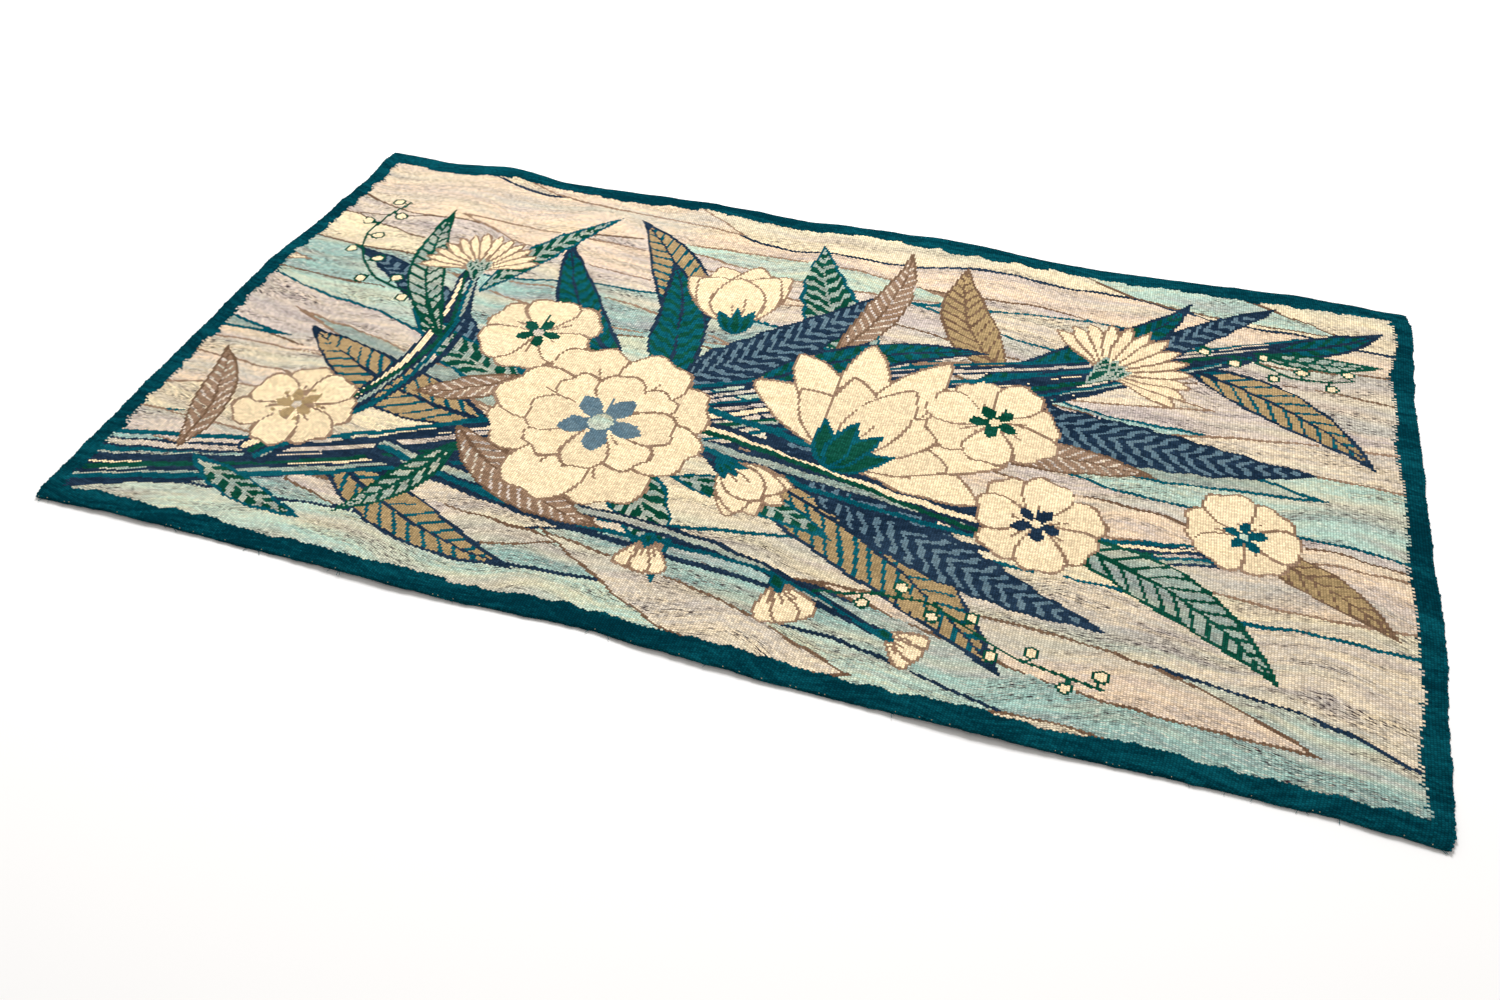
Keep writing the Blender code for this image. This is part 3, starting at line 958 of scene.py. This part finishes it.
def heather(tree, cell, across, up):
    """The melange: two dyed yarns hatched together, with streaks and hairs of undyed fleece."""
    streaks, dashes = streak_places(tree, across, up)
    dice = add(tree, "ShaderNodeTexWhiteNoise", {"Vector": cell})
    dice = add(tree, "ShaderNodeSeparateColor", {0: dice.outputs["Color"]}).outputs
    main = add(tree, "ShaderNodeAttribute", attribute_name="main_yarn").outputs
    second = add(tree, "ShaderNodeAttribute", attribute_name="second_yarn").outputs
    fleck = main["Alpha"]

    # The second yarn, in streaks within clouds six times their size, and float by float
    fine = add(tree, NOISE, {"Vector": streaks, "W": 2.0, "Scale": 1.0, "Detail": 3.0, "Roughness": 0.65},
               noise_dimensions="4D")
    broad = add(tree, NOISE, {"Vector": streaks, "W": 3.0, "Scale": 0.16, "Detail": 2.0},
                noise_dimensions="4D")
    broad = add(tree, MATH, {0: broad, 1: 0.60}, operation="MULTIPLY")
    mingled = add(tree, MATH, {0: fine, 1: 0.75, 2: broad}, operation="MULTIPLY_ADD")
    mingled = add(tree, MATH, {0: dice[0], 1: 0.12, 2: mingled}, operation="MULTIPLY_ADD")
    mingled = add(tree, RANGE, {"Value": mingled, "From Min": 0.66, "From Max": 0.88})
    share = add(tree, MATH, {0: mingled, 1: second["Alpha"]}, operation="MULTIPLY")
    colour = add(tree, MIX, {0: share, 6: main["Color"], 7: second["Color"]}, data_type="RGBA")

    # In the ground's yarns alone, one over the other: clouds of aqua and of peach, smaller ones of lilac grey
    # and of straw, dark hairs where a cloud of their own gathers them, and pale flecks
    ground_yarn = add(tree, RANGE, {"Value": fleck, "From Min": 0.36, "From Max": 0.76})
    tints = (
        ("#8DB9AF", share_of(tree, streaks, 9.0, 0.14, 0.50, 0.70, ground_yarn, 0.60)),
        ("#ECD0B0", share_of(tree, streaks, 10.0, 0.14, 0.50, 0.70, ground_yarn, 0.60)),
        ("#A0969A", share_of(tree, streaks, 4.0, 0.30, 0.50, 0.70, ground_yarn, 0.55)),
        ("#E6D3A4", share_of(tree, streaks, 5.0, 0.20, 0.54, 0.74, ground_yarn, 0.50)),
        ("#33262E", share_of(tree, dashes, 6.0, 1.0, 0.50, 0.58, ground_yarn,
                             share_of(tree, streaks, 7.0, 0.40, 0.46, 0.58))),
        ("#FBF2DE", share_of(tree, dashes, 8.0, 1.0, 0.54, 0.68, ground_yarn, 0.60)),
    )
    for tint, amount in tints:
        colour = add(tree, MIX, {0: amount, 6: colour.outputs[COLOUR_MIX], 7: linear(tint)}, data_type="RGBA")

    # Each float is a shade lighter or darker, more so where there is fleece in it: partly the yarn's own
    # uneven tone, partly painted glints on the floats
    tone_and_glint_swing = add(tree, MATH, {0: fleck, 1: 0.04, 2: 0.42}, operation="MULTIPLY_ADD")
    tone = add(tree, MATH, {0: dice[2], 1: 0.5}, operation="SUBTRACT")
    tone = add(tree, MATH, {0: tone, 1: tone_and_glint_swing, 2: 1.0}, operation="MULTIPLY_ADD")
    return colour, tone, streaks


def handspun_wool():
    """Hand-spun wool weft beaten down over the warp: matt, ribbed, each float a shade apart, with flecks, and
    with painted shade in its gaps and painted glints on its floats.
    """
    material, tree = new_material("handspun_wool_weft")
    cell, across, up, rib, bead, twist = weave_places(tree)
    colour, tone, streaks = heather(tree, cell, across, up)

    # What turns under at the two hems is darkened towards brown: partly the brown of the warp's ends, partly
    # painted shade under the folds
    below = add(tree, MATH, {0: up, 1: -0.8}, operation="LESS_THAN")
    above = add(tree, MATH, {0: up, 1: FLOATS + 0.8}, operation="GREATER_THAN")
    under = add(tree, MATH, {0: below, 1: above}, operation="MAXIMUM")
    warp_ends_and_painted_shade = add(tree, MATH, {0: under, 1: 0.6}, operation="MULTIPLY")
    colour = add(tree, MIX, {0: warp_ends_and_painted_shade, 6: colour.outputs[COLOUR_MIX], 7: linear("#54463C")}, data_type="RGBA")

    # Painted shade and light: the colour is darkened in the gaps between ribs and floats, and a little
    # lightened on their crowns
    high = add(tree, MATH, {0: bead, 1: 0.88, 2: 0.12}, operation="MULTIPLY_ADD")
    high = add(tree, MATH, {0: rib, 1: high}, operation="MULTIPLY")
    gaps = add(tree, RANGE, {"Value": high, "To Min": 0.50, "To Max": 1.21})
    shade = add(tree, MATH, {0: tone, 1: gaps}, operation="MULTIPLY")
    colour = add(tree, MIX, {0: 1.0, 6: colour.outputs[COLOUR_MIX], 7: shade}, data_type="RGBA",
                 blend_type="MULTIPLY")

    # Thick and thin places of the spinning, the plies' twist at twice its real 0.8 mm, and the fuzz
    slubs = add(tree, NOISE, {"Vector": streaks, "Scale": 3.1, "Detail": 1.0})
    slubs = add(tree, RANGE, {"Value": slubs, "From Min": 0.3, "From Max": 0.7, "To Min": 0.75,
                              "To Max": 1.1})
    place = add(tree, "ShaderNodeTexCoord").outputs["Object"]
    fuzz = add(tree, NOISE, {"Vector": place, "Scale": 1 / (0.9 * MM), "Detail": 2.0, "Roughness": 0.7})
    height = add(tree, MATH, {0: high, 1: slubs}, operation="MULTIPLY")
    height = add(tree, MATH, {0: twist, 1: 0.08, 2: height}, operation="MULTIPLY_ADD")
    height = add(tree, MATH, {0: fuzz, 1: 0.25, 2: height}, operation="MULTIPLY_ADD")
    bump = add(tree, "ShaderNodeBump", {"Strength": 0.5, "Distance": 0.8 * MM, "Height": height})
    wool = add(tree, "ShaderNodeBsdfPrincipled", {"Base Color": colour.outputs[COLOUR_MIX], "Roughness": 0.95,
                                                  "Normal": bump, "Specular IOR Level": 0.01})
    add(tree, "ShaderNodeOutputMaterial", {"Surface": wool})
    return material


def plain_yarn(name, shade, light_shade):
    """One yarn seen by itself: matt, a little uneven in its dye, with fine hairs."""
    material, tree = new_material(name)
    place = add(tree, "ShaderNodeTexCoord").outputs["Object"]
    patches = add(tree, NOISE, {"Vector": place, "Scale": 1 / (6 * MM), "Detail": 3.0, "Roughness": 0.7})
    share = add(tree, RANGE, {"Value": patches, "From Min": 0.35, "From Max": 0.65})
    colour = add(tree, MIX, {0: share, 6: linear(shade), 7: linear(light_shade)}, data_type="RGBA")
    hairs = add(tree, NOISE, {"Vector": place, "Scale": 1 / (0.5 * MM), "Detail": 2.0})
    bump = add(tree, "ShaderNodeBump", {"Strength": 0.5, "Distance": 0.3 * MM, "Height": hairs})
    yarn = add(tree, "ShaderNodeBsdfPrincipled", {"Base Color": colour.outputs[COLOUR_MIX], "Roughness": 0.9,
                                                  "Normal": bump, "Specular IOR Level": 0.05})
    add(tree, "ShaderNodeOutputMaterial", {"Surface": yarn})
    return material


def new_tree(name, sizes):
    """A tree of geometry nodes with a named input for each size."""
    tree = bpy.data.node_groups.new(name, "GeometryNodeTree")
    tree.interface.new_socket("Geometry", in_out="INPUT", socket_type="NodeSocketGeometry")
    tree.interface.new_socket("Geometry", in_out="OUTPUT", socket_type="NodeSocketGeometry")
    for size in sizes:
        tree.interface.new_socket(size, in_out="INPUT", socket_type="NodeSocketFloat")
    return tree, add(tree, "NodeGroupInput").outputs


def grown(name, places, tree, sizes):
    """The plain mesh object that a tree grows on some places."""
    guide_mesh = bpy.data.meshes.new(name + "_places")
    guide_mesh.from_pydata(places.tolist(), [], [])
    guide = bpy.data.objects.new(name + "_places", guide_mesh)
    bpy.context.scene.collection.objects.link(guide)
    modifier = guide.modifiers.new("grow", "NODES")
    modifier.node_group = tree
    for socket in tree.interface.items_tree:
        if socket.in_out == "INPUT" and socket.name in sizes:
            modifier[socket.identifier] = sizes[socket.name]
    evaluated = guide.evaluated_get(bpy.context.evaluated_depsgraph_get())
    piece = bpy.data.objects.new(name, bpy.data.meshes.new_from_object(evaluated))
    bpy.data.objects.remove(guide)
    bpy.context.scene.collection.objects.link(piece)
    return piece


def bead_tree(name, low, high, seed, material):
    """Round beads of yarn on the places where a slow noise is over a level, each of its own size."""
    tree, given = new_tree(name, ("Radius", "Level", "Patches per metre"))
    place = add(tree, "GeometryNodeInputPosition")
    patches = add(tree, NOISE, {"Vector": place, "Scale": given["Patches per metre"], "Detail": 3.0})
    chosen = add(tree, "FunctionNodeCompare", {0: patches, 1: given["Level"]}, data_type="FLOAT",
                 operation="GREATER_THAN")
    bead = add(tree, "GeometryNodeMeshIcoSphere", {"Radius": given["Radius"], "Subdivisions": 2})
    size = add(tree, "FunctionNodeRandomValue", {0: low, 1: high, "Seed": seed}, data_type="FLOAT_VECTOR")
    beads = add(tree, "GeometryNodeInstanceOnPoints", {"Points": given["Geometry"], "Selection": chosen,
                                                       "Instance": bead.outputs["Mesh"], "Scale": size})
    real = add(tree, "GeometryNodeRealizeInstances", {0: beads})
    smooth = add(tree, "GeometryNodeSetShadeSmooth", {0: real})
    dressed = add(tree, "GeometryNodeSetMaterial", {0: smooth, "Material": material})
    add(tree, "NodeGroupOutput", {0: dressed})
    return tree


def strand_tree(material):
    """Short bent ends of yarn that point away from the cloth and droop."""
    tree, given = new_tree("loose_ends", ("Length", "Thickness"))
    bend = add(tree, "GeometryNodeCurveQuadraticBezier", {
        "Resolution": 5, "Start": (0, 0.15, 0), "Middle": (0.1, -0.5, 0.12), "End": (0.25, -1, -0.1)})
    length = add(tree, "ShaderNodeCombineXYZ", {0: given["Length"], 1: given["Length"], 2: given["Length"]})
    scaled = add(tree, "GeometryNodeTransform", {0: bend, "Scale": length})
    ring = add(tree, "GeometryNodeCurvePrimitiveCircle", {"Resolution": 5, "Radius": given["Thickness"]})
    strand = add(tree, "GeometryNodeCurveToMesh", {"Curve": scaled, "Profile Curve": ring, "Fill Caps": True})
    turn = add(tree, "FunctionNodeRandomValue", {0: (-0.15, -0.3, -1.1), 1: (0.10, 0.3, 1.1), "Seed": 4},
               data_type="FLOAT_VECTOR")
    size = add(tree, "FunctionNodeRandomValue", {2: 0.6, 3: 1.3, "Seed": 9}, data_type="FLOAT")
    ends = add(tree, "GeometryNodeInstanceOnPoints", {"Points": given["Geometry"], "Instance": strand,
                                                      "Rotation": turn, "Scale": size.outputs[1]})
    real = add(tree, "GeometryNodeRealizeInstances", {0: ends})
    smooth = add(tree, "GeometryNodeSetShadeSmooth", {0: real})
    dressed = add(tree, "GeometryNodeSetMaterial", {0: smooth, "Material": material})
    add(tree, "NodeGroupOutput", {0: dressed})
    return tree


KNUCKLE_LEVEL = 2.2  # half floats up from the fold


def warp_knuckles(shift):
    """Pale warps that peep out between the wefts along the two folds."""
    warps = np.arange(1.0, WARPS, 2)
    front = lay_out(warps, np.full(warps.shape, KNUCKLE_LEVEL), np.zeros(warps.shape, bool))
    back = lay_out(warps, np.full(warps.shape, TOP - KNUCKLE_LEVEL), np.zeros(warps.shape, bool))
    tree = bead_tree("warp_knuckles", (0.7, 0.6, 0.5), (1.3, 0.9, 0.9), 7,
                     plain_yarn("undyed_cotton_warp", "#857C66", "#BDB094"))
    return grown("warp_knuckles", np.vstack((front, back)) + shift, tree,
                 {"Radius": 0.9 * MM, "Level": 0.58, "Patches per metre": 60.0})


def selvedge_turns(shift):
    """The wefts' turns round the outermost warps, one for each two floats."""
    levels = np.arange(2.0, TOP, 4)
    sides = []
    for warp in (0.0, float(WARPS)):
        warps = np.full(levels.shape, warp)
        top = lay_out(warps, levels, np.zeros(levels.shape, bool))
        sides.append((top + lay_out(warps, levels, np.ones(levels.shape, bool))) / 2)
    tree = bead_tree("selvedge_turns", (0.7, 1.5, 0.65), (1.25, 2.7, 0.95), 3,
                     plain_yarn("dark_teal_weft", "#003C49", "#0A5562"))
    return grown("selvedge_turns", np.vstack(sides) + shift, tree,
                 {"Radius": 1.5 * MM, "Level": 0.0, "Patches per metre": 20.0})


def loose_ends(shift):
    """A few ends of weft that have worked out along the front fold and at the corners."""
    dice = np.random.default_rng(12)
    warps = np.concatenate((dice.uniform(4, WARPS - 4, 24), (1.0, 2.0, WARPS - 2.0, WARPS - 1.0)))
    places = lay_out(warps, np.full(warps.shape, -0.6), np.zeros(warps.shape, bool)) + shift
    tree = strand_tree(plain_yarn("teal_weft_end", "#063E4A", "#1C6A74"))
    return grown("loose_ends", places, tree, {"Length": 6 * MM, "Thickness": 0.35 * MM})


def make_tapestry():
    mesh, shift = tapestry_mesh(draw_chart())
    mesh.materials.append(handspun_wool())
    tapestry = bpy.data.objects.new("tapestry_face_and_back", mesh)
    bpy.context.scene.collection.objects.link(tapestry)
    trimmings = [warp_knuckles(shift), selvedge_turns(shift), loose_ends(shift)]
    for piece in (tapestry, *trimmings):
        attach(piece, "root")
    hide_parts("tapestry")


def white_floor():
    """Smooth white paper, pale enough to show only the soft shadow."""
    material, tree = new_material("white_paper")
    paper = add(tree, "ShaderNodeBsdfPrincipled", {"Base Color": linear("#F7F7F8"), "Roughness": 0.7,
                                                   "Specular IOR Level": 0.2})
    add(tree, "ShaderNodeOutputMaterial", {"Surface": paper})
    mesh = bpy.data.meshes.new("floor")
    quarters = ((-1, -1), (1, -1), (1, 1), (-1, 1))
    mesh.from_pydata([(x * FLOOR_REACH, y * FLOOR_REACH, 0) for x, y in quarters], [], [(0, 1, 2, 3)])
    mesh.materials.append(material)
    floor = bpy.data.objects.new("floor", mesh)
    bpy.context.scene.collection.objects.link(floor)


def soft_light():
    """A bright room with one broad lamp above and behind, so the shadow falls softly to the front."""
    world = bpy.data.worlds.new("white_room")
    world.use_nodes = True
    walls = world.node_tree.nodes["Background"].inputs
    walls["Color"].default_value = linear("#FFFBF5")
    walls["Strength"].default_value = ROOM_LIGHT
    bpy.context.scene.world = world
    lamp = bpy.data.lights.new("broad_lamp", "AREA")
    lamp.shape = "DISK"
    lamp.size = LAMP_WIDTH
    lamp.energy = LAMP_POWER
    broad_lamp = bpy.data.objects.new("broad_lamp", lamp)
    lean = Matrix.Rotation(math.radians(LAMP_LEAN), 4, "X")
    broad_lamp.matrix_world = Matrix.Translation(LAMP_PLACE) @ lean
    bpy.context.scene.collection.objects.link(broad_lamp)


def photo_camera():
    """The photograph's view: a 30 mm lens, 1.46 m up, looking down 44 degrees."""
    lens = bpy.data.cameras.new("camera")
    lens.sensor_width = 36.0
    lens.lens = CAMERA_LENS
    camera = bpy.data.objects.new("camera", lens)
    heading = Matrix.Rotation(math.radians(CAMERA_HEADING), 4, "Z")
    tilt = Matrix.Rotation(math.radians(90 - CAMERA_DOWN), 4, "X")
    roll = Matrix.Rotation(math.radians(CAMERA_ROLL), 4, "Z")
    camera.matrix_world = Matrix.Translation(CAMERA_PLACE) @ heading @ tilt @ roll
    bpy.context.scene.collection.objects.link(camera)
    bpy.context.scene.camera = camera


scene = bpy.context.scene
scene.view_settings.view_transform = "Standard"
scene.view_settings.look = "None"

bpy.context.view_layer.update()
make_tapestry()
white_floor()
soft_light()
photo_camera()
